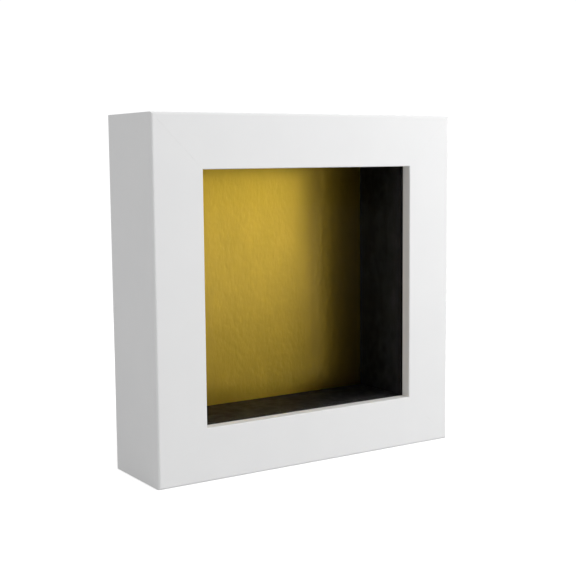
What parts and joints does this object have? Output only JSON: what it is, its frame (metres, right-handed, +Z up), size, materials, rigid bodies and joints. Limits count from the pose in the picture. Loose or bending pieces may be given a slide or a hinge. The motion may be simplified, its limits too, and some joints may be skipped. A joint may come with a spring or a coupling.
{
  "type": "shadow box",
  "caption": "Square deep-framed shadow box: white mitred frame, clear pane, black-lined display cavity with a gold back board, and a back panel held in by turn buttons.",
  "frame": {"origin": "middle of the frame's base face, halfway through the depth of the moulding", "axes": "+X to the right as the box is seen from the front, +Y from the front to the back, +Z up; left and right in names are as seen from the front"},
  "size_m": [0.17, 0.0485, 0.17],
  "materials": {
    "white_moulding": "satin white wrap on fibreboard, bare brown board on the rear face and in the rebate",
    "black_spacer": "matt black",
    "gold_foil_board": "semi-gloss metallic gold foil",
    "clear_glass": "clear, polished",
    "hardboard": "smooth brown hardboard",
    "zinc_steel": "bright zinc plate",
    "bumper_rubber": "matt"
  },
  "bodies": {
    "box": {"frame_rail_top": "white_moulding", "frame_rail_bottom": "white_moulding", "frame_rail_left": "white_moulding", "frame_rail_right": "white_moulding", "mitre_v_nails": "zinc_steel", "glass_pane": "clear_glass", "spacer_top": "black_spacer", "spacer_bottom": "black_spacer", "spacer_left": "black_spacer", "spacer_right": "black_spacer", "gold_board": "gold_foil_board", "back_panel": "hardboard", "turn_button_screws": "zinc_steel", "sawtooth_hanger": "zinc_steel", "hanger_screws": "zinc_steel", "bumper_left": "bumper_rubber", "bumper_right": "bumper_rubber"},
    "turn_button_left_lower": {"turn_button_left_lower": "zinc_steel"},
    "turn_button_left_upper": {"turn_button_left_upper": "zinc_steel"},
    "turn_button_right_lower": {"turn_button_right_lower": "zinc_steel"},
    "turn_button_right_upper": {"turn_button_right_upper": "zinc_steel"}
  },
  "joints": [
    {"name": "turn_button_left_lower_pivot", "type": "hinge", "parent": "box", "child": "turn_button_left_lower", "pos_m": [-0.073, 0.02285, 0.047], "axis": [0, 1, 0], "continuous": true},
    {"name": "turn_button_left_upper_pivot", "type": "hinge", "parent": "box", "child": "turn_button_left_upper", "pos_m": [-0.073, 0.02285, 0.123], "axis": [0, 1, 0], "continuous": true},
    {"name": "turn_button_right_lower_pivot", "type": "hinge", "parent": "box", "child": "turn_button_right_lower", "pos_m": [0.073, 0.02285, 0.047], "axis": [0, 1, 0], "continuous": true},
    {"name": "turn_button_right_upper_pivot", "type": "hinge", "parent": "box", "child": "turn_button_right_upper", "pos_m": [0.073, 0.02285, 0.123], "axis": [0, 1, 0], "continuous": true}
  ]
}
